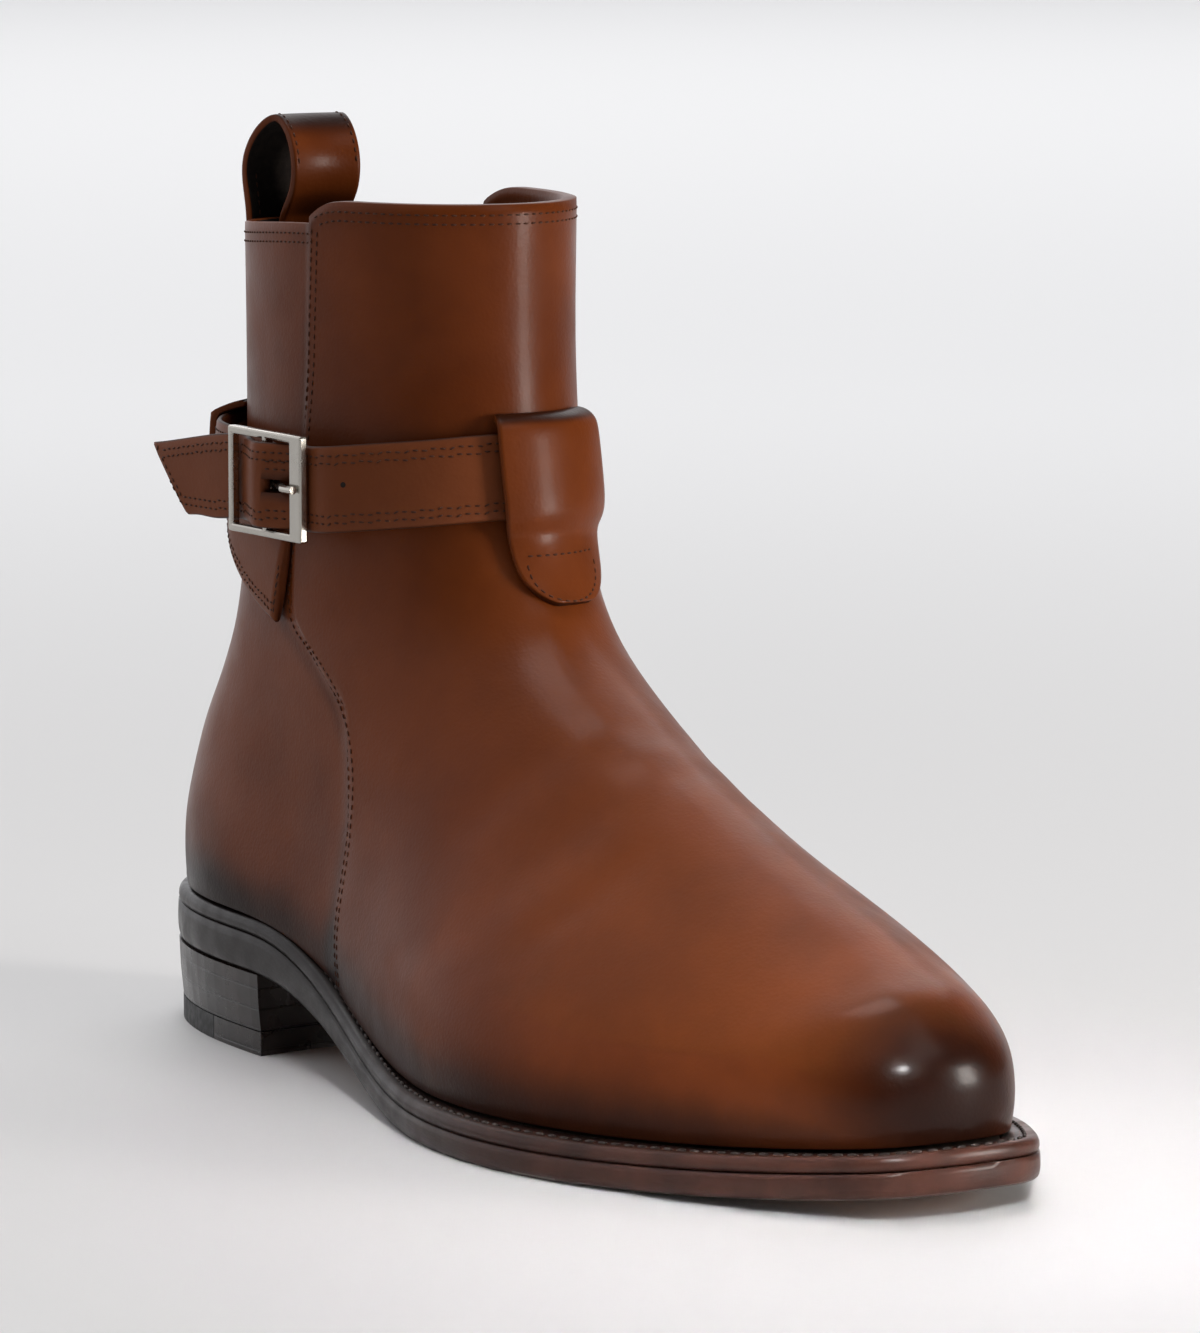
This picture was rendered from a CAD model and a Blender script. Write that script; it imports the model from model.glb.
"""Looks of the strapped ankle boot: leather, stitches, folds, sole finish, floor, light and camera."""

import math

import bmesh
import bpy
import numpy as np
from mathutils import Matrix, Vector
from mathutils.bvhtree import BVHTree


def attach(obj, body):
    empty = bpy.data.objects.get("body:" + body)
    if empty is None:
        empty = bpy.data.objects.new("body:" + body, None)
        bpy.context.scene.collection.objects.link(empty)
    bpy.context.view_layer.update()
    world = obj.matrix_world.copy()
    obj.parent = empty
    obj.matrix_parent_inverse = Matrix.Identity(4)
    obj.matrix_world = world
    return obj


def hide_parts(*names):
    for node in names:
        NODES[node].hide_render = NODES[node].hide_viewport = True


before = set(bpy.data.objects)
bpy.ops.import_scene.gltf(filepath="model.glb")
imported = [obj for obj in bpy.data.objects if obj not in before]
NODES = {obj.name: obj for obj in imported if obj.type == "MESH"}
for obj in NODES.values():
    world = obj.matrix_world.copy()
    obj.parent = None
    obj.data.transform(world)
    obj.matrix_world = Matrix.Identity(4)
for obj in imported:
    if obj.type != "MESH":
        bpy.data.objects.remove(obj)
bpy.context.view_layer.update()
RANGE_SOCKETS = ("From Min", "From Max", "To Min", "To Max")


# materials

class Finish:
    """A Principled material and the nodes that feed it."""

    def __init__(self, name, **sockets):
        self.mat = bpy.data.materials.new(name)
        self.mat.use_nodes = True
        self.tree = self.mat.node_tree
        self.shader = self.tree.nodes["Principled BSDF"]
        for socket, value in sockets.items():
            self.shader.inputs[socket.replace("_", " ")].default_value = value
        self.place = self.tree.nodes.new("ShaderNodeTexCoord").outputs["Object"]

    def feed(self, socket, value):
        """Link or set a socket."""
        if isinstance(value, bpy.types.NodeSocket):
            self.tree.links.new(value, socket)
        else:
            socket.default_value = value

    def noise(self, scale, detail=3.0, rough=0.5, stretch=None):
        """Noise from 0 to 1 over the piece."""
        node = self.tree.nodes.new("ShaderNodeTexNoise")
        node.inputs["Scale"].default_value = scale
        node.inputs["Detail"].default_value = detail
        node.inputs["Roughness"].default_value = rough
        place = self.place
        if stretch:
            turn = self.tree.nodes.new("ShaderNodeMapping")
            turn.inputs["Scale"].default_value = stretch
            self.tree.links.new(place, turn.inputs["Vector"])
            place = turn.outputs["Vector"]
        self.tree.links.new(place, node.inputs["Vector"])
        return node.outputs["Fac"]

    def cells(self, scale):
        """Pebbled grain."""
        node = self.tree.nodes.new("ShaderNodeTexVoronoi")
        node.inputs["Scale"].default_value = scale
        self.tree.links.new(self.place, node.inputs["Vector"])
        return node.outputs["Distance"]

    def painted(self, name):
        """The piece's own painted value."""
        node = self.tree.nodes.new("ShaderNodeAttribute")
        node.attribute_name = name
        return node.outputs["Fac"]

    def axis(self, letter):
        """One coordinate of the piece."""
        node = self.tree.nodes.new("ShaderNodeSeparateXYZ")
        self.tree.links.new(self.place, node.inputs[0])
        return node.outputs[letter]

    def span(self, value, low, high, first=0.0, last=1.0):
        """Value eased from first to last between low and high."""
        node = self.tree.nodes.new("ShaderNodeMapRange")
        node.interpolation_type = "SMOOTHSTEP"
        self.feed(node.inputs["Value"], value)
        for socket, number in zip(RANGE_SOCKETS, (low, high, first, last)):
            node.inputs[socket].default_value = number
        return node.outputs["Result"]

    def sums(self, kind, first, second):
        """A sum, product or the like of two values."""
        node = self.tree.nodes.new("ShaderNodeMath")
        node.operation = kind
        self.feed(node.inputs[0], first)
        self.feed(node.inputs[1], second)
        return node.outputs[0]

    def blend(self, share, first, second):
        """Colour between two colours."""
        node = self.tree.nodes.new("ShaderNodeMix")
        node.data_type = "RGBA"
        self.feed(node.inputs["Factor"], share)
        for socket, colour in ((node.inputs["A"], first), (node.inputs["B"], second)):
            self.feed(socket, colour if isinstance(colour, bpy.types.NodeSocket) else (*colour, 1))
        return node.outputs["Result"]

    def colour(self, value):
        self.feed(self.shader.inputs["Base Color"], value)

    def rough(self, value):
        self.feed(self.shader.inputs["Roughness"], value)

    def relief(self, height, distance, strength=1.0):
        """Bump of the given depth in metres, on top of an earlier one."""
        node = self.tree.nodes.new("ShaderNodeBump")
        node.inputs["Strength"].default_value = strength
        node.inputs["Distance"].default_value = distance
        self.feed(node.inputs["Height"], height)
        socket = self.shader.inputs["Normal"]
        if socket.is_linked:
            self.tree.links.new(socket.links[0].from_socket, node.inputs["Normal"])
        self.tree.links.new(node.outputs["Normal"], socket)


# wax on the leather: where along the boot it starts and is full, and its weight before and after
TOE_WAX = (0.215, 0.250, 0.03, 0.13)


def calf(name, warm, deep, burnt, gloss=0.33, shine=0.08):
    """Polished calf leather: its painted value runs to the burnt colour, and its toe is waxed."""
    skin = Finish(name, Coat_Roughness=0.17, Specular_IOR_Level=shine)
    skin.feed(skin.shader.inputs["Coat Weight"], skin.span(skin.axis("X"), *TOE_WAX))
    cloud = skin.span(skin.noise(16, 4, 0.6), 0.33, 0.68)
    mottle = skin.span(skin.noise(150, 5, 0.65), 0.30, 0.72)
    base = skin.blend(skin.sums("MULTIPLY", cloud, 0.75), warm, deep)
    base = skin.blend(skin.sums("MULTIPLY", mottle, 0.12), base, deep)
    blotch = skin.span(skin.noise(40, 4), 0.2, 0.8, -0.09, 0.09)
    burnish = skin.sums("ADD", skin.painted("burnish"), blotch)
    skin.colour(skin.blend(skin.span(burnish, 0.02, 1.0), base, burnt))
    skin.rough(skin.span(skin.noise(60, 4), 0.25, 0.75, gloss - 0.05, gloss + 0.09))
    skin.relief(skin.cells(1150), 0.00006, 0.4)
    skin.relief(skin.noise(420, 4, 0.6), 0.00010, 0.4)
    skin.relief(skin.noise(45, 1, 0.4), 0.0005, 0.25)
    return skin.mat


def flesh(name, colour, dark, rough):
    """Cut edge or underside of leather."""
    cut = Finish(name, Specular_IOR_Level=0.15)
    cut.colour(cut.blend(cut.span(cut.noise(500, 5, 0.7), 0.3, 0.7), colour, dark))
    cut.rough(rough)
    cut.relief(cut.noise(900, 4, 0.7), 0.00018, 0.6)
    return cut.mat


UPPER = calf("upper_calf", (0.150, 0.034, 0.0070), (0.085, 0.018, 0.0040), (0.012, 0.0035, 0.0018))
STRAP = calf(
    "strap_calf", (0.175, 0.050, 0.0185), (0.122, 0.034, 0.0125), (0.022, 0.007, 0.004),
    gloss=0.38, shine=0.06,
)
CUT = flesh("cut_edge", (0.050, 0.022, 0.014), (0.025, 0.012, 0.009), 0.55)
LINING = flesh("lining", (0.020, 0.014, 0.011), (0.010, 0.007, 0.006), 0.85)
THREAD = flesh("thread", (0.075, 0.027, 0.013), (0.042, 0.015, 0.008), 0.60)
WELT_THREAD = flesh("welt_thread", (0.060, 0.045, 0.040), (0.020, 0.014, 0.012), 0.45)
BOARD = flesh("insole_face", (0.070, 0.045, 0.032), (0.040, 0.026, 0.020), 0.70)


def waxed_edge():
    """Dark waxed welt and sole edge, redder towards the toe."""
    edge = Finish("waxed_edge", Coat_Weight=0.08, Coat_Roughness=0.2, Specular_IOR_Level=0.2)
    toe = edge.span(edge.axis("X"), 0.09, 0.25)
    base = edge.blend(toe, (0.011, 0.007, 0.006), (0.072, 0.025, 0.016))
    worn = edge.span(edge.noise(90, 4, 0.6), 0.3, 0.75, 0.0, 0.6)
    edge.colour(edge.blend(worn, base, (0.010, 0.005, 0.004)))
    edge.rough(edge.span(edge.noise(140, 3), 0.3, 0.7, 0.28, 0.44))
    edge.relief(edge.noise(260, 3, 0.6, (1, 1, 5)), 0.0002, 0.5)
    return edge.mat


def sole_face():
    """Oiled tan sole leather, burnished dark towards its edge."""
    face = Finish("sole_face", Coat_Weight=0.12, Coat_Roughness=0.3)
    grain = face.span(face.noise(30, 5, 0.6), 0.3, 0.72)
    tan = face.blend(grain, (0.46, 0.165, 0.042), (0.34, 0.105, 0.026))
    fade = face.sums("ADD", face.painted("rim"), face.span(face.noise(45, 4), 0.2, 0.8, -0.16, 0.16))
    smoke = face.span(face.noise(70, 3), 0.3, 0.7)
    dusk = face.blend(smoke, (0.115, 0.075, 0.060), (0.060, 0.036, 0.028))
    face.colour(face.blend(face.span(fade, 0.30, 0.85), tan, dusk))
    face.rough(face.span(face.noise(50, 3), 0.3, 0.7, 0.36, 0.5))
    face.relief(face.noise(700, 4, 0.7), 0.00010, 0.5)
    return face.mat


LIFT_HEIGHT = 0.0048


def heel_side():
    """Waxed heel lifts: faint level lines between near-black layers."""
    side = Finish("heel_side", Coat_Weight=0.15, Coat_Roughness=0.2, Specular_IOR_Level=0.3)
    wave = side.sums("SINE", side.sums("MULTIPLY", side.axis("Z"), 2 * math.pi / LIFT_HEIGHT), 0.0)
    line = side.span(wave, 0.90, 1.0)
    wax = side.span(side.noise(80, 4), 0.3, 0.7)
    base = side.blend(wax, (0.022, 0.013, 0.011), (0.012, 0.008, 0.007))
    side.colour(side.blend(side.sums("MULTIPLY", line, 0.6), base, (0.004, 0.003, 0.003)))
    side.rough(side.span(side.noise(120, 3), 0.3, 0.7, 0.24, 0.38))
    side.relief(line, -0.00018, 0.7)
    return side.mat


def rubber_face():
    """Matt black heel rubber."""
    rubber = Finish("heel_rubber")
    rubber.colour(rubber.blend(rubber.noise(300, 4), (0.014, 0.014, 0.015), (0.028, 0.027, 0.027)))
    rubber.rough(rubber.span(rubber.noise(500, 4), 0.3, 0.7, 0.5, 0.72))
    rubber.relief(rubber.noise(1200, 3, 0.7), 0.0001, 0.5)
    return rubber.mat


def plated(name, colour, rough):
    """Plated metal, slightly uneven in colour and shine."""
    metal = Finish(name, Metallic=1.0)
    metal.colour(metal.blend(metal.noise(180, 4), colour, tuple(c * 0.86 for c in colour)))
    metal.rough(metal.span(metal.noise(260, 4), 0.3, 0.7, rough, rough + 0.10))
    metal.relief(metal.noise(900, 3), 0.00002, 0.4)
    return metal.mat


WAX = waxed_edge()
SOLE = sole_face()
HEEL = heel_side()
RUBBER = rubber_face()
NICKEL = plated("nickel_plate", (0.52, 0.49, 0.44), 0.18)
BRASS = plated("brass_nail", (0.72, 0.48, 0.18), 0.25)


# shaping

def shown(name, mesh, slot, *mats):
    """A new piece on the boot."""
    piece = bpy.data.objects.new(name, mesh)
    bpy.context.scene.collection.objects.link(piece)
    mesh.materials.clear()
    for mat in mats:
        mesh.materials.append(mat)
    mesh.shade_smooth()
    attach(piece, "root")
    return piece


def joined(node):
    """The node's solid as one closed skin of mostly four-sided faces."""
    bm = bmesh.new()
    bm.from_mesh(NODES[node].data)
    bmesh.ops.remove_doubles(bm, verts=bm.verts, dist=0.00001)
    bmesh.ops.join_triangles(
        bm, faces=bm.faces, angle_face_threshold=math.radians(40), angle_shape_threshold=math.radians(75)
    )
    return bm


def creased(piece, sharp, hold):
    """Edges sharper than the given angle keep their line when the piece is rounded."""
    bm = bmesh.new()
    bm.from_mesh(piece.data)
    layer = bm.edges.layers.float.new("crease_edge")
    for edge in bm.edges:
        if len(edge.link_faces) == 2 and edge.calc_face_angle() > math.radians(sharp):
            edge[layer] = hold
    bm.to_mesh(piece.data)
    bm.free()


def rounds(piece, levels):
    """Facets rounded."""
    soft = piece.modifiers.new("rounds", "SUBSURF")
    soft.levels = levels
    soft.render_levels = levels


def smoothed(node, name, slot, mats, levels=2, sharp=40, hold=0.8):
    """The node's shape with its facets rounded; edges sharper than the given angle keep their line."""
    bm = joined(node)
    mesh = bpy.data.meshes.new(name)
    bm.to_mesh(mesh)
    bm.free()
    piece = shown(name, mesh, slot, *mats)
    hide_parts(node)
    creased(piece, sharp, hold)
    rounds(piece, levels)
    return piece


def settle(piece):
    """The piece's modifiers become its mesh."""
    bpy.context.view_layer.update()
    made = bpy.data.meshes.new_from_object(piece.evaluated_get(bpy.context.evaluated_depsgraph_get()))
    mats = list(piece.data.materials)
    piece.modifiers.clear()
    piece.data = made
    made.materials.clear()
    for mat in mats:
        made.materials.append(mat)
    return made


def paint(mesh, name, values):
    """Painted value at each point of a mesh."""
    layer = mesh.attributes.new(name, "FLOAT", "POINT")
    layer.data.foreach_set("value", np.asarray(values, dtype=np.float32))


def places(mesh):
    """Points and outward directions of a mesh."""
    spots = np.empty(len(mesh.vertices) * 3, dtype=np.float32)
    mesh.vertices.foreach_get("co", spots)
    outs = np.empty(len(mesh.vertices) * 3, dtype=np.float32)
    mesh.vertices.foreach_get("normal", outs)
    return spots.reshape(-1, 3), outs.reshape(-1, 3)


def ease(values, low, high):
    """0 at low, 1 at high, smooth between."""
    t = np.clip((np.asarray(values) - low) / (high - low), 0, 1)
    return t * t * (3 - 2 * t)


def tree_of(piece):
    """The piece's skin, ready to be looked at."""
    bpy.context.view_layer.update()
    return BVHTree.FromObject(piece, bpy.context.evaluated_depsgraph_get())


def reach(spots, line):
    """Distance of each spot from a line of points, and how far along the line its nearest place is."""
    best = np.full(len(spots), 1.0)
    along = np.zeros(len(spots))
    count = len(line) - 1
    for k in range(count):
        start = np.array(line[k])
        way = np.array(line[k + 1]) - start
        share = np.clip(((spots - start) @ way) / (way @ way), 0, 1)
        gap = np.linalg.norm(spots - (start + share[:, None] * way), axis=1)
        near = gap < best
        best[near] = gap[near]
        along[near] = (k + share[near]) / count
    return best, along


# the upper

SHAFT_MIDDLE = Vector((0.036, 0, 0))
COLLAR_REAR = 0.188
COLLAR_FRONT = 0.1966

# rear edge of the front piece as seen from each side: (along, height) in metres
LAP_OUTER = (
    (0.0697, 0.014), (0.0700, 0.058), (0.0682, 0.072), (0.0605, 0.084), (0.0470, 0.092),
    (0.0319, 0.100), (0.0350, 0.117), (0.0430, 0.146), (0.0464, 0.190),
)
LAP_INNER = (
    (0.0709, 0.014), (0.0715, 0.058), (0.0691, 0.072), (0.0611, 0.084), (0.0476, 0.092),
    (0.0344, 0.100), (0.0335, 0.117), (0.0298, 0.146), (0.0253, 0.190),
)


def from_side(tree, side, along, height):
    """Place on a skin, looking square at the outer (-1) or inner (1) side."""
    hit = tree.ray_cast(Vector((along, 0.2 * side, height)), Vector((0, -side, 0)))
    return hit[:2] if hit[0] else None


def from_above(tree, along, across):
    """Place on a skin, looking straight down."""
    hit = tree.ray_cast(Vector((along, across, 0.4)), Vector((0, 0, -1)))
    return hit[:2] if hit[0] else None


def around_shaft(tree, turn, height, middle=SHAFT_MIDDLE):
    """Place on a skin, looking level at the shaft: turn 0 faces the toe, 90 degrees the inner side."""
    out = Vector((math.cos(turn), math.sin(turn), 0))
    hit = tree.ray_cast(middle + out * 0.25 + Vector((0, 0, height)), -out)
    return hit[:2] if hit[0] else None


# folds where the foot bends: (depth, width) in metres, then places (along, across) seen from above
FOLDS = (
    (0.00060, 0.0050, ((0.118, -0.034), (0.130, -0.016), (0.136, 0.004), (0.134, 0.022))),
    (0.00050, 0.0045, ((0.140, -0.040), (0.149, -0.022), (0.153, -0.002), (0.150, 0.018))),
    (0.00045, 0.0042, ((0.160, -0.044), (0.166, -0.030), (0.169, -0.012))),
    (0.00040, 0.0050, ((0.106, 0.034), (0.122, 0.028), (0.138, 0.030))),
    (-0.00040, 0.0050, ((0.126, -0.036), (0.141, -0.016), (0.145, 0.008))),
    (-0.00035, 0.0050, ((0.150, -0.044), (0.160, -0.024), (0.162, -0.002))),
)
DEEPEST_FOLD = FOLDS[0][0]
# the toe's ridge and the flatter place behind it, in the same columns
TOE_RIDGE = (
    (-0.0012, 0.0060, (
        (0.224, -0.032), (0.235, -0.025), (0.243, -0.016),
        (0.2465, -0.004), (0.244, 0.010), (0.236, 0.020),
    )),
    (0.0006, 0.0110, ((0.205, -0.022), (0.221, -0.013), (0.230, -0.002), (0.226, 0.010))),
)
# folds low on the shaft: (depth, width), then places (turn in degrees, height)
SHAFT_FOLDS = (
    (0.00045, 0.0055, ((-60, 0.106), (-35, 0.100), (-8, 0.098))),
    (0.00040, 0.0050, ((38, 0.100), (62, 0.097), (95, 0.104))),
    (-0.00035, 0.0060, ((-70, 0.092), (-45, 0.088))),
    (0.00030, 0.0060, ((-75, 0.158), (-40, 0.156), (-15, 0.160))),
)


# a face belongs to the lining if a look from it, starting this far off, meets the leather again
LOOK_START = 0.0004
LOOK_LENGTH = 0.25
NEARLY_LEVEL = 0.92


def dress_upper():
    """The upper's leather: rounded, folded, burnished, with its lining inside."""
    piece = smoothed("upper", "upper_skin", "upper_leather", (UPPER, LINING, CUT), 2, 35, 0.7)
    mesh = settle(piece)
    tree = tree_of(piece)
    spots, outs = places(mesh)
    lining = np.zeros(len(mesh.vertices), dtype=bool)
    for face in mesh.polygons:
        start = Vector(face.center) + Vector(face.normal) * LOOK_START
        if abs(face.normal.z) < NEARLY_LEVEL and tree.ray_cast(start, face.normal, LOOK_LENGTH)[0]:
            face.material_index = 1
            for corner in face.vertices:
                lining[corner] = True
    move = np.zeros(len(spots))
    lines = []
    for depth, width, trail in FOLDS + TOE_RIDGE:
        lines.append((depth, width, [from_above(tree, *spot)[0] for spot in trail]))
    for depth, width, trail in SHAFT_FOLDS:
        lines.append((depth, width, [around_shaft(tree, math.radians(t), z)[0] for t, z in trail]))
    hollow = np.zeros(len(spots))
    for depth, width, line in lines:
        gap, along = reach(spots, line)
        fade = np.sin(np.pi * np.clip(along * 0.94 + 0.03, 0, 1)) ** 0.6
        dent = np.exp(-(gap / width) ** 2) * fade
        move -= depth * dent
        hollow += max(depth, 0.0) / DEEPEST_FOLD * dent
    move[lining] = 0.0
    mesh.vertices.foreach_set("co", (spots + outs * move[:, None]).astype(np.float32).ravel())
    burn_upper(mesh, spots, hollow)
    mesh.update()
    mesh.shade_smooth()
    return piece


# strength of the burnt colour at each place
BURNT = {
    "welt": 0.65, "toe": 0.72, "cap": 0.30, "sides": 0.15,
    "heel": 0.45, "rim": 0.25, "seam": 0.42, "fold": 0.10,
}
SEAM_REACH = 0.0030


def burn_upper(mesh, spots, hollow):
    """Darker leather at toe, welt, heel, seams and folds."""
    along, across, height = spots.T
    floor = 0.012 + 0.020 * ease(-along, -0.135, -0.035)
    low = 1 - ease(height - floor, 0.0, 0.016)
    toe = ease(along + 0.10 * np.abs(across), 0.222, 0.268)
    cap = ease(along, 0.240, 0.264) * BURNT["cap"]
    sides = ease(np.abs(across), 0.030, 0.052) * BURNT["sides"]
    heel = (1 - ease(height, 0.03, 0.075)) * (1 - ease(along, 0.0, 0.055)) * BURNT["heel"]
    rim = ease(height, COLLAR_REAR - 0.006, COLLAR_FRONT) * BURNT["rim"]
    seam = np.zeros(len(spots))
    for side, line in ((-1, LAP_OUTER), (1, LAP_INNER)):
        flat = np.stack([along, height], axis=1)
        gap = reach(flat, [np.array(p) for p in line])[0]
        near = np.exp(-(gap / SEAM_REACH) ** 2) * (np.sign(across) == side)
        seam = np.maximum(seam, near * BURNT["seam"])
    edges = np.maximum(low * BURNT["welt"], toe * BURNT["toe"])
    shade = edges + cap + sides + heel + rim + seam + BURNT["fold"] * hollow
    paint(mesh, "burnish", np.clip(shade, 0, 1))


upper = dress_upper()
UPPER_TREE = tree_of(upper)


# stitches

def walk(line, pitch):
    """Evenly spaced (place, direction, outward) along a row of (place, outward)."""
    spots = [Vector(s) for s, out in line]
    outs = [Vector(out) for s, out in line]
    left = pitch / 2
    steps = []
    for k in range(len(spots) - 1):
        way = spots[k + 1] - spots[k]
        size = way.length
        if size < 1e-7:
            continue
        while left < size:
            share = left / size
            out = outs[k].lerp(outs[k + 1], share).normalized()
            steps.append((spots[k] + way * share, way.normalized(), out))
            left += pitch
        left -= size
    return steps


def sew(name, rows, slot, thread=None, pitch=0.0021, length=0.0015, thick=0.00052, proud=0.0):
    """Rows of stitches, each a short bulge of thread lying on the leather."""
    bm = bmesh.new()
    for row in rows:
        for spot, way, out in walk(row, pitch):
            across = out.cross(way).normalized()
            up = way.cross(across)
            turn = Matrix((way * length / 2, across * thick / 2, up * thick / 2)).transposed().to_4x4()
            turn.translation = spot + out * proud
            bmesh.ops.create_icosphere(bm, subdivisions=1, radius=1.0, matrix=turn)
    mesh = bpy.data.meshes.new(name)
    bm.to_mesh(mesh)
    bm.free()
    return shown(name, mesh, slot, thread or THREAD)


def shifted(line, gap):
    """A flat line of (along, height) moved sideways, to the front where gap is above 0."""
    moved = []
    for k, spot in enumerate(line):
        before = Vector(line[max(k - 1, 0)])
        after = Vector(line[min(k + 1, len(line) - 1)])
        way = (after - before).normalized()
        moved.append(Vector(spot) + Vector((way.y, -way.x)) * gap)
    return moved


def dense(line, step=0.0015):
    """More places on a line of points."""
    made = []
    for a, b in zip(line, line[1:]):
        a = Vector(a)
        b = Vector(b)
        count = max(1, round((b - a).length / step))
        made += [a.lerp(b, k / count) for k in range(count)]
    return made + [Vector(line[-1])]


def rounded_line(line, passes=2):
    """A line with its corners cut off, as often as passes says."""
    spots = [Vector(p) for p in line]
    for _ in range(passes):
        cut = [spots[0]]
        for a, b in zip(spots, spots[1:]):
            cut += [a.lerp(b, 0.25), a.lerp(b, 0.75)]
        spots = cut + [spots[-1]]
    return spots


def kept(places_found):
    """Without the places where a look missed."""
    return [p for p in places_found if p]


# the rim: its rise along the quarters, the sole's rear end and length, the front piece's step and corner
QUARTER_RISE = 0.003
SOLE_REAR = 0.0414
SOLE_LENGTH = 0.307
LAP_STEP = 0.0011
LAP_CORNER = 0.012
COLLAR_DROPS = (0.0024, 0.0044)
LAP_GAPS = (0.0022, 0.0042)
LAP_FOOT = 0.017


def collar_height(along, side):
    """Height of the rim at a place along the boot."""
    rear = COLLAR_REAR + QUARTER_RISE * float(ease((along + SOLE_REAR) / SOLE_LENGTH, 0.08, 0.30))
    edge = (LAP_OUTER if side < 0 else LAP_INNER)[-1][0]
    past = min(1.0, max(0.0, (along - edge) / LAP_CORNER))
    if along < edge:
        return rear
    return rear + LAP_STEP + (COLLAR_FRONT - rear - LAP_STEP) * math.sqrt(1 - (1 - past) ** 2)


def collar_rows():
    """Two rows below the rim, front piece and quarters."""
    rows = []
    for drop in COLLAR_DROPS:
        for front in (True, False):
            row = []
            for k in range(361):
                turn = math.radians(k - 180 if front else k)
                spot = around_shaft(UPPER_TREE, turn, COLLAR_REAR - drop)
                if not spot:
                    continue
                side = -1 if spot[0].y < 0 else 1
                edge = (LAP_OUTER if side < 0 else LAP_INNER)[-1][0]
                if (spot[0].x > edge + drop) != front or (not front and spot[0].x > edge - 0.001):
                    continue
                rim = collar_height(spot[0].x - drop * 0.3, side)
                row.append(around_shaft(UPPER_TREE, turn, rim - drop))
            rows.append(kept(row))
    return rows


def lap_rows():
    """Two rows beside the front piece's rear edge, on both sides."""
    rows = []
    for side, line in ((-1, LAP_OUTER), (1, LAP_INNER)):
        for gap in LAP_GAPS:
            spots = dense(rounded_line(shifted(line, gap)))
            rows.append(kept(from_side(UPPER_TREE, side, p.x, p.y) for p in spots if p.y > LAP_FOOT))
    return rows


sew("collar_stitches", collar_rows(), "upper_leather")
sew("front_piece_stitches", lap_rows(), "upper_leather")


# stay, straps and loops

def dress_band(node, name, slot, skin, levels=2, sharp=50, hold=0.75):
    """Strap, stay or loop with rounded bends and dark cut edges."""
    piece = smoothed(node, name, slot, (skin, CUT), levels, sharp, hold)
    mesh = settle(piece)
    outs = places(mesh)[1]
    edge = ease(np.abs(outs[:, 2]), 0.35, 0.85)
    paint(mesh, "burnish", np.clip(edge * 0.8, 0, 1))
    mesh.shade_smooth()
    return piece


PULL_LOOP_MIDDLE = Vector((-0.0085, 0, 0.199))
PULL_LOOP_NECK = 0.187


def line_pull_loop(piece):
    """The pull loop's inner side is rough and dark."""
    for face in piece.data.polygons:
        if face.center.z > PULL_LOOP_NECK and (face.center - PULL_LOOP_MIDDLE).dot(face.normal) < 0:
            face.material_index = 2


stay = dress_band("back_stay", "stay_skin", "upper_leather", UPPER)
front_loop = dress_band("front_loop", "front_loop_skin", "strap_leather", UPPER)
back_loop = dress_band("back_loop", "back_loop_skin", "strap_leather", STRAP)
pull_loop = dress_band("pull_loop", "pull_loop_skin", "strap_leather", UPPER)
pull_loop.data.materials.append(LINING)
line_pull_loop(pull_loop)
long_strap = dress_band("long_strap", "long_strap_skin", "strap_leather", STRAP, 1, 50, 1.0)
buckle_strap = dress_band("buckle_strap", "buckle_strap_skin", "strap_leather", STRAP, 1, 50, 1.0)


# distance of the two rows of stitches from a strap's edge
ROW_GAPS = (0.0019, 0.0036)


def from_behind(tree, across, height):
    """Place on a skin, looking square at the boot from behind."""
    hit = tree.ray_cast(Vector((-0.3, across, height)), Vector((1, 0, 0)))
    return hit[:2] if hit[0] else None


def from_front(tree, across, height):
    """Place on a skin, looking square at the boot from the front."""
    hit = tree.ray_cast(Vector((0.3, across, height)), Vector((-1, 0, 0)))
    return hit[:2] if hit[0] else None


# the stay's rows: their foot, their height, and the look that searches the stay's edge from outside in
STAY_FOOT = 0.037
STAY_TALL = 0.149
STAY_GAPS = (0.0018, 0.0037)
STAY_REACH = 0.0160
STAY_STEP = 0.0002


def stay_rows():
    """Two rows inside each edge of the back stay, found by looking at it from behind."""
    tree = tree_of(stay)
    rows = []
    for side in (-1, 1):
        for gap in STAY_GAPS:
            row = []
            for k in range(100):
                height = STAY_FOOT + STAY_TALL * k / 99
                for step in range(60):
                    reach_out = STAY_REACH - step * STAY_STEP
                    if from_behind(tree, side * reach_out, height):
                        row.append(from_behind(tree, side * (reach_out - gap), height))
                        break
            rows.append(kept(row))
    return rows


sew("stay_stitches", stay_rows(), "upper_leather")


def runs_of(row, jump=0.003):
    """A row cut wherever it jumps to another part of the piece."""
    runs = [[]]
    for spot in row:
        if runs[-1] and (spot[0] - runs[-1][-1][0]).length > jump:
            runs.append([])
        runs[-1].append(spot)
    return [run for run in runs if len(run) > 2]


# looks at the strap start at this height and go down in steps of this size, this many times
LOOK_TOP = 0.153
LOOK_STEP = 0.0005
LOOKS = 130
# the strap's skin is one run where neighbouring looks differ by less; shorter runs are edges
SKIN_JUMP = 0.0008
SHORTEST_RUN = 0.006


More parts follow.
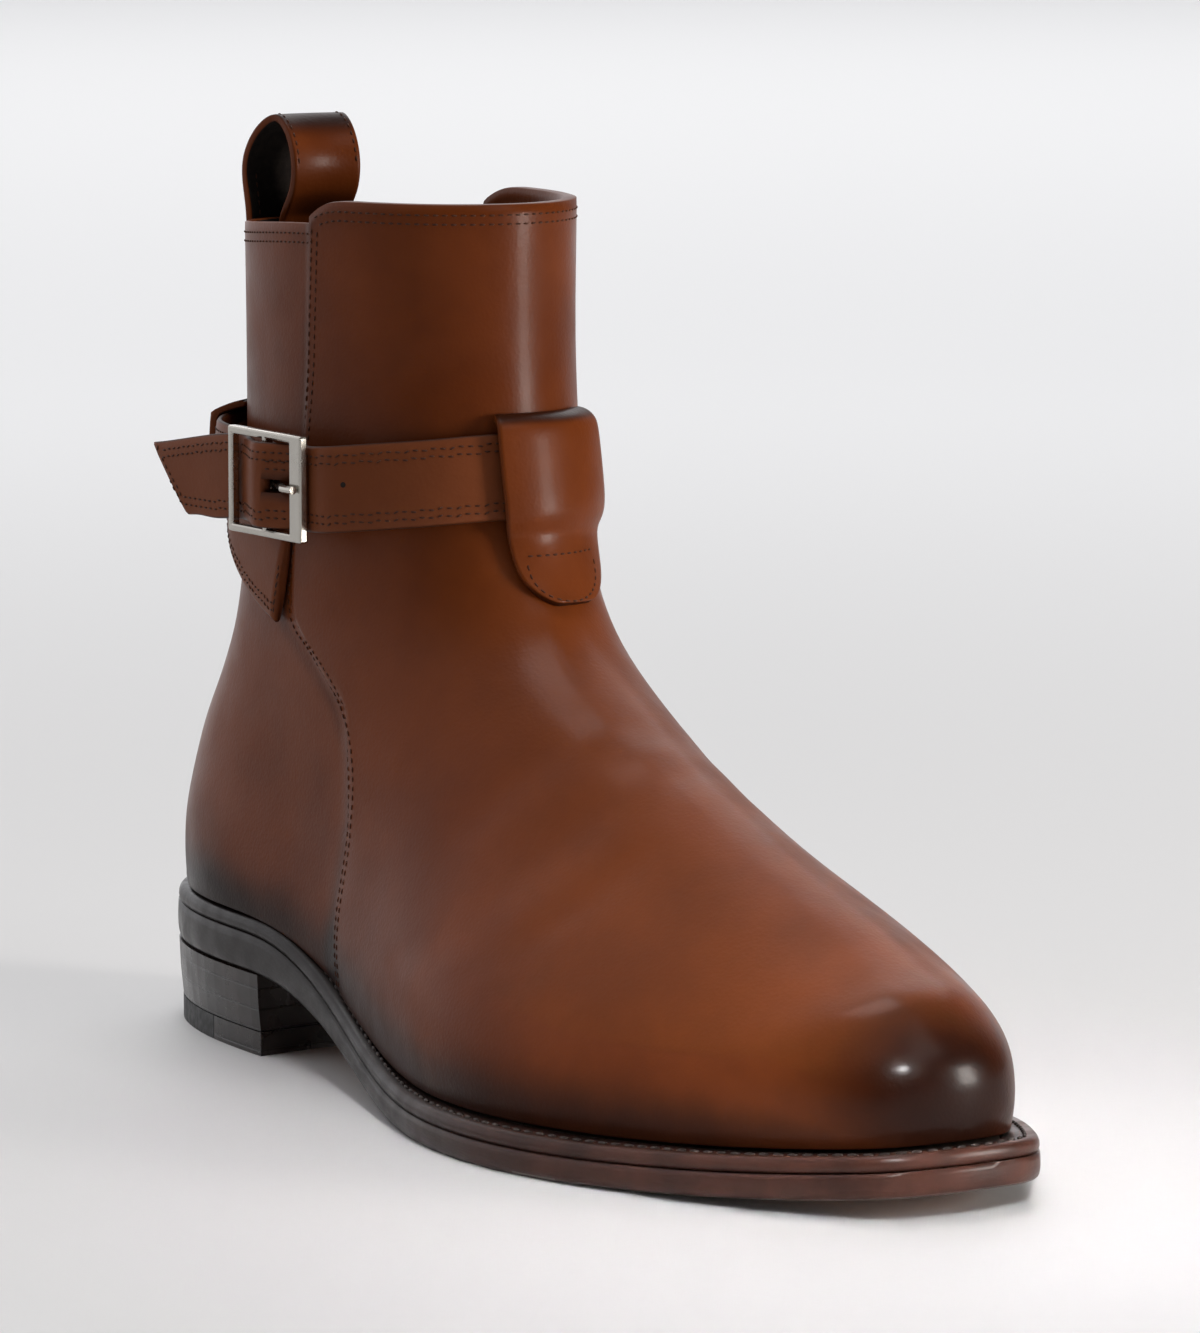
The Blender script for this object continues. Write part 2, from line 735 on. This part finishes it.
def strap_rows(piece, start, end, gaps=ROW_GAPS):
    """Rows inside both edges of a strap, found by looking at it from all round the shaft."""
    tree = tree_of(piece)
    rows = {(part, gap): [] for part in ("top", "bottom", "wing") for gap in gaps}
    for k in range(start, end):
        turn = math.radians(k)
        out = Vector((math.cos(turn), math.sin(turn), 0))
        runs = []
        before = None
        for n in range(LOOKS):
            height = LOOK_TOP - n * LOOK_STEP
            hit = tree.ray_cast(SHAFT_MIDDLE + out * 0.25 + Vector((0, 0, height)), -out)
            far = hit[3] if hit[0] and hit[1].dot(out) > 0.2 else None
            if far is not None and before is not None and abs(far - before) < SKIN_JUMP:
                runs[-1][1] = height
            elif far is not None:
                runs.append([height, height])
            before = far
        runs = [run for run in runs if run[0] - run[1] > SHORTEST_RUN]
        if not runs:
            continue
        for gap in gaps:
            rows[("top", gap)].append(around_shaft(tree, turn, runs[0][0] - gap))
            rows[("bottom", gap)].append(around_shaft(tree, turn, runs[0][1] + gap))
            if len(runs) > 1:
                rows[("wing", gap)].append(around_shaft(tree, turn, runs[-1][1] + gap))
    return [run for row in rows.values() for run in runs_of(kept(row))]


# the tail's slanted end is searched from this low and rear place, forwards in small steps
TAIL_LOW = 0.118
TAIL_TALL = 0.020
TAIL_REAR = -0.012
TAIL_STEP = 0.0004
TAIL_SLANT = 1.25


def tail_rows():
    """Two rows along the slanted end of the strap's tail."""
    tree = tree_of(long_strap)
    rows = []
    for gap in ROW_GAPS:
        row = []
        for k in range(40):
            height = TAIL_LOW + TAIL_TALL * k / 39
            for n in range(60):
                along = TAIL_REAR + n * TAIL_STEP
                if from_side(tree, -1, along, height):
                    row.append(from_side(tree, -1, along + gap * TAIL_SLANT, height))
                    break
        rows.append(kept(row)[3:-3])
    return rows


SPARE_HOLE = (0.0690, 0.1345)
SPARE_HOLE_RADIUS = 0.0008


def spare_hole():
    """A spare hole for the prong, in front of the buckle."""
    spot, out = from_side(tree_of(long_strap), -1, *SPARE_HOLE)
    turn = out.to_track_quat("Z", "Y").to_matrix().to_4x4()
    turn.translation = spot - out * 0.0001
    bm = bmesh.new()
    bmesh.ops.create_uvsphere(bm, u_segments=16, v_segments=8, radius=SPARE_HOLE_RADIUS)
    bmesh.ops.scale(bm, vec=(1, 1, 0.22), verts=bm.verts)
    bmesh.ops.transform(bm, matrix=turn, verts=bm.verts)
    mesh = bpy.data.meshes.new("spare_hole")
    bm.to_mesh(mesh)
    bm.free()
    shown("spare_hole", mesh, "strap_leather", LINING)


spare_hole()
sew("tail_stitches", tail_rows(), "strap_leather")
sew("strap_stitches", strap_rows(long_strap, -220, 140), "strap_leather")
sew("buckle_strap_stitches", strap_rows(buckle_strap, 150, 330), "strap_leather")


# the front loop: its middle, half its width inside the stitches, the straight line and the bow
FRONT_LOOP_MIDDLE = 0.005
FRONT_LOOP_HALF = 0.0100
FRONT_LOOP_LINE = 0.1195
BOW_TOP = 0.1180
BOW_DEPTH = 0.0085
BACK_LOOP_HALF = 0.0128
BACK_LOOP_LINES = (0.1150, 0.1458)
PULL_LOOP_ROWS = (-0.0094, -0.0076, 0.0076, 0.0094)
PULL_LOOP_FOOT = 0.168
PULL_LOOP_TALL = 0.020
PULL_LOOP_CROSS = 0.1685
PULL_LOOP_HEART = Vector((-0.0085, 0, 0.200))


def level_row(look, tree, middle, half, height):
    """Level row of stitches seen from behind or from the front."""
    return kept(look(tree, middle + half * (k / 20 * 2 - 1), height) for k in range(21))


def loop_rows():
    """Line across the front loop, bow round its lower end, rows on the back loop and pull loop."""
    tree = tree_of(front_loop)
    rows = [level_row(from_front, tree, FRONT_LOOP_MIDDLE, FRONT_LOOP_HALF, FRONT_LOOP_LINE)]
    bow = []
    for k in range(41):
        turn = math.pi * k / 40
        across = FRONT_LOOP_MIDDLE - FRONT_LOOP_HALF * math.cos(turn)
        bow.append(from_front(tree, across, BOW_TOP - BOW_DEPTH * math.sin(turn) ** 0.7))
    rows.append(kept(bow))
    tree = tree_of(back_loop)
    for height in BACK_LOOP_LINES:
        rows.append(level_row(from_behind, tree, 0.0, BACK_LOOP_HALF, height))
    tree = tree_of(pull_loop)
    for across in PULL_LOOP_ROWS:
        row = [from_behind(tree, across, PULL_LOOP_FOOT + PULL_LOOP_TALL * k / 20) for k in range(21)]
        for k in range(60):
            turn = math.radians(-5 + 180 * k / 59)
            out = Vector((-math.cos(turn), 0, math.sin(turn)))
            hit = tree.ray_cast(PULL_LOOP_HEART + out * 0.05 + Vector((0, across, 0)), -out)
            row.append(hit[:2] if hit[0] else None)
        rows += runs_of(kept(row))
    rows.append(level_row(from_behind, tree, 0.0, PULL_LOOP_ROWS[-1], PULL_LOOP_CROSS))
    return rows


sew("loop_stitches", loop_rows(), "strap_leather")


# sole

SOLE_MIDDLE = Vector((0.10, 0.0))
# two corners of the sole seen from its middle within this turn, in radians, count as one
SAME_CORNER = 0.012


def outline():
    """The sole's edge as flat places in order round the foot."""
    found = []
    for vert in NODES["outsole"].data.vertices:
        way = Vector((vert.co.x, vert.co.y)) - SOLE_MIDDLE
        found.append((math.atan2(way.y, way.x), way.length))
    found.sort()
    ring = []
    for turn, far in found:
        if ring and turn - ring[-1][0] < SAME_CORNER:
            if far > ring[-1][1]:
                ring[-1] = (ring[-1][0], far)
            continue
        ring.append((turn, far))
    return [SOLE_MIDDLE + Vector((math.cos(t), math.sin(t))) * far for t, far in ring]


def inset(ring, gap):
    """Closed ring moved inwards."""
    count = len(ring)
    moved = []
    for k, spot in enumerate(ring):
        way = (ring[(k + 1) % count] - ring[k - 1]).normalized()
        moved.append(spot + Vector((-way.y, way.x)) * gap)
    return moved


EDGE = outline()
UNDER_SOLE = -0.1
OVER_SOLE = 0.08


def sole_rows(tree, gap, below):
    """Row round the sole on its top (welt) or underside."""
    ring = inset(EDGE, gap)
    row = []
    for spot in dense(ring + ring[:1], 0.003):
        start = Vector((spot.x, spot.y, UNDER_SOLE if below else OVER_SOLE))
        hit = tree.ray_cast(start, Vector((0, 0, 1 if below else -1)))
        row.append(hit[:2] if hit[0] else None)
    return kept(row)


welt = smoothed("welt", "welt_strip", "welt_leather", (WAX,), 1, 50, 0.9)


LONG_EDGE = 0.012
RIM_WIDTH = (0.003, 0.020)


def dress_outsole():
    """Tan underside with a burnished rim; the edge stays waxed."""
    bm = joined("outsole")
    flat = {face for face in bm.faces if abs(face.normal.z) > 0.6}
    long_ones = [edge for edge in bm.edges if edge.calc_length() > LONG_EDGE]
    crossing = [edge for edge in long_ones if flat.issuperset(edge.link_faces)]
    bmesh.ops.subdivide_edges(bm, edges=crossing, cuts=23, use_grid_fill=True)
    mesh = bpy.data.meshes.new("outsole_leather")
    bm.to_mesh(mesh)
    bm.free()
    piece = shown("outsole_leather", mesh, "sole_leather", WAX, SOLE)
    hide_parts("outsole")
    creased(piece, 50, 0.95)
    rounds(piece, 1)
    mesh = settle(piece)
    for face in mesh.polygons:
        if face.normal.z < -0.6:
            face.material_index = 1
    spots = places(mesh)[0]
    ring = [np.array((p.x, p.y)) for p in EDGE + EDGE[:1]]
    gap = reach(spots[:, :2], ring)[0]
    paint(mesh, "rim", 1 - ease(gap, *RIM_WIDTH))
    mesh.shade_smooth()
    return piece


# distances of the rows from the sole's edge
WELT_ROW = 0.0030
CHANNEL_ROW = 0.0070
NAIL_ROW = 0.0065
# rear end of the stitched channel, just in front of the heel
CHANNEL_END = 0.045
NAIL_PITCH = 0.0075
NAIL_RADIUS = 0.0010
# two places on the top piece that lie further apart than this belong to different edges
NAIL_JUMP = 0.008

outsole = dress_outsole()
WELT_TREE = tree_of(welt)
sew(
    "welt_stitches", [sole_rows(WELT_TREE, WELT_ROW, False)], "welt_leather", WELT_THREAD,
    pitch=0.0034, length=0.0028, thick=0.0010, proud=0.0001,
)

channel = [spot for spot in sole_rows(tree_of(outsole), CHANNEL_ROW, True) if spot[0].x > CHANNEL_END]
sew(
    "channel_stitches", [channel], "sole_leather", WELT_THREAD,
    pitch=0.0030, length=0.0022, thick=0.0009, proud=-0.0004,
)


def nails():
    """Brass nails near both edges of the leather part of the top piece."""
    bm = bmesh.new()
    for run in runs_of(sole_rows(tree_of(NODES["top_piece_leather"]), NAIL_ROW, True), NAIL_JUMP):
        for spot, _, out in walk(run, NAIL_PITCH):
            made = bmesh.ops.create_uvsphere(bm, u_segments=12, v_segments=6, radius=NAIL_RADIUS)["verts"]
            bmesh.ops.scale(bm, vec=(1, 1, 0.2), verts=made)
            bmesh.ops.translate(bm, vec=spot - out * 0.0001, verts=made)
    mesh = bpy.data.meshes.new("heel_nails")
    bm.to_mesh(mesh)
    bm.free()
    shown("heel_nails", mesh, None, BRASS)


nails()

for node, finish in (
    ("insole", BOARD), ("heel_stack", HEEL), ("top_piece_leather", SOLE), ("top_piece_rubber", RUBBER),
    ("buckle_frame", NICKEL), ("buckle_prong", NICKEL),
):
    NODES[node].data.materials.clear()
    NODES[node].data.materials.append(finish)
lift = NODES["top_piece_leather"].data
lift.materials.append(HEEL)
for face in lift.polygons:
    face.material_index = 0 if face.normal.z < -0.5 else 1


# floor, light, camera

def area(name, place, aim, size, power):
    """Soft light panel."""
    lamp = bpy.data.lights.new(name, "AREA")
    lamp.shape = "RECTANGLE"
    lamp.size, lamp.size_y = size
    lamp.energy = power
    panel = bpy.data.objects.new(name, lamp)
    bpy.context.scene.collection.objects.link(panel)
    panel.location = place
    panel.rotation_euler = (Vector(aim) - Vector(place)).to_track_quat("-Z", "Y").to_euler()
    return lamp


# the room is bright behind the boot and dim on the camera's side
ROOM_BRIGHT_SIDE = (-0.85, -0.20, 0.35)
ROOM_BRIGHT = 1.00
ROOM_DIM = 0.05
ROOM_TURN = (-0.05, 0.80)
BOOT_MIDDLE = (0.08, 0, 0.09)
# panels: name, place, place aimed at, size, power in watts
PANELS = (
    ("right_panel", (1.27, 0.85, 0.26), (0.06, 0, 0.12), (0.32, 0.62), 19.0),
    ("toe_panel", (1.09, -0.38, 0.76), (0.257, -0.013, 0.03), (0.22, 0.12), 0.11),
    ("front_panel", (0.95, 0.25, 1.25), BOOT_MIDDLE, (0.6, 0.6), 2.2),
    ("top_panel", (0.0, 0.0, 1.7), BOOT_MIDDLE, (0.7, 0.7), 8),
    ("back_panel", (-3.4, 2.5, 3.2), (-3.2, 2.4, 0.0), (4.5, 4.5), 85),
)
WARM_LIGHT = (1.0, 0.95, 0.90)
# angle of the toe panel's beam in degrees
TOE_BEAM = 12
FLOOR_NEAR = (0.64, 0.635, 0.63)
FLOOR_FAR = (0.93, 0.93, 0.93)
FLOOR_FADE = (0.25, 1.6)


def studio():
    """Pale floor running into a pale room, with soft panels over the boot."""
    bm = bmesh.new()
    bmesh.ops.create_grid(bm, x_segments=1, y_segments=1, size=30)
    mesh = bpy.data.meshes.new("floor")
    bm.to_mesh(mesh)
    bm.free()
    floor = bpy.data.objects.new("floor", mesh)
    bpy.context.scene.collection.objects.link(floor)
    ground = Finish("pale_floor")
    squares = [ground.sums("POWER", ground.axis(letter), 2.0) for letter in "XY"]
    away = ground.sums("POWER", ground.sums("ADD", *squares), 0.5)
    ground.colour(ground.blend(ground.span(away, *FLOOR_FADE), FLOOR_NEAR, FLOOR_FAR))
    ground.rough(0.6)
    mesh.materials.append(ground.mat)
    room = bpy.data.worlds.new("room")
    room.use_nodes = True
    tree = room.node_tree
    way = tree.nodes.new("ShaderNodeTexCoord").outputs["Generated"]
    facing = tree.nodes.new("ShaderNodeVectorMath")
    facing.operation = "DOT_PRODUCT"
    facing.inputs[1].default_value = ROOM_BRIGHT_SIDE
    tree.links.new(way, facing.inputs[0])
    share = tree.nodes.new("ShaderNodeMapRange")
    share.interpolation_type = "SMOOTHSTEP"
    for socket, number in zip(RANGE_SOCKETS, (*ROOM_TURN, ROOM_DIM, ROOM_BRIGHT)):
        share.inputs[socket].default_value = number
    tree.links.new(facing.outputs["Value"], share.inputs["Value"])
    light = tree.nodes["Background"]
    light.inputs["Color"].default_value = (0.97, 0.97, 1.0, 1)
    tree.links.new(share.outputs["Result"], light.inputs["Strength"])
    bpy.context.scene.world = room
    lamps = {row[0]: area(*row) for row in PANELS}
    lamps["right_panel"].color = WARM_LIGHT
    lamps["toe_panel"].spread = math.radians(TOE_BEAM)


studio()

# the photo's size and focal length in pixels, the boot's middle in it, and the camera that was fitted to it
PHOTO_WIDTH = 1200
PHOTO_HEIGHT = 1333
PHOTO_FOCAL = 3565.0
ZOOM = 2.0
SENSOR = 36.0
BOOT_IN_PHOTO = (295.0, 773.0)
CAMERA_PLACE = Vector((1.43294, -0.81764, 0.30345))
PHOTO_LOOK = Vector((-0.79594, 0.59655, -0.10301))
PHOTO_RIGHT = Vector((0.59974, 0.80020, 0.0))
PHOTO_UP = Vector((-0.08243, 0.06178, 0.99468))


def stand_camera():
    """The photo's place and angle, framed on the one boot."""
    lens = bpy.data.cameras.new("camera")
    lens.sensor_fit = "HORIZONTAL"
    lens.sensor_width = SENSOR
    lens.lens = ZOOM * PHOTO_FOCAL / PHOTO_WIDTH * SENSOR
    lens.clip_start = 0.05
    look = (
        PHOTO_LOOK
        + PHOTO_RIGHT * (BOOT_IN_PHOTO[0] - PHOTO_WIDTH / 2) / PHOTO_FOCAL
        - PHOTO_UP * (BOOT_IN_PHOTO[1] - PHOTO_HEIGHT / 2) / PHOTO_FOCAL
    )
    camera = bpy.data.objects.new("camera", lens)
    bpy.context.scene.collection.objects.link(camera)
    camera.location = CAMERA_PLACE
    camera.rotation_euler = look.to_track_quat("-Z", "Y").to_euler()
    bpy.context.scene.camera = camera


stand_camera()
bpy.context.scene.view_settings.view_transform = "Standard"
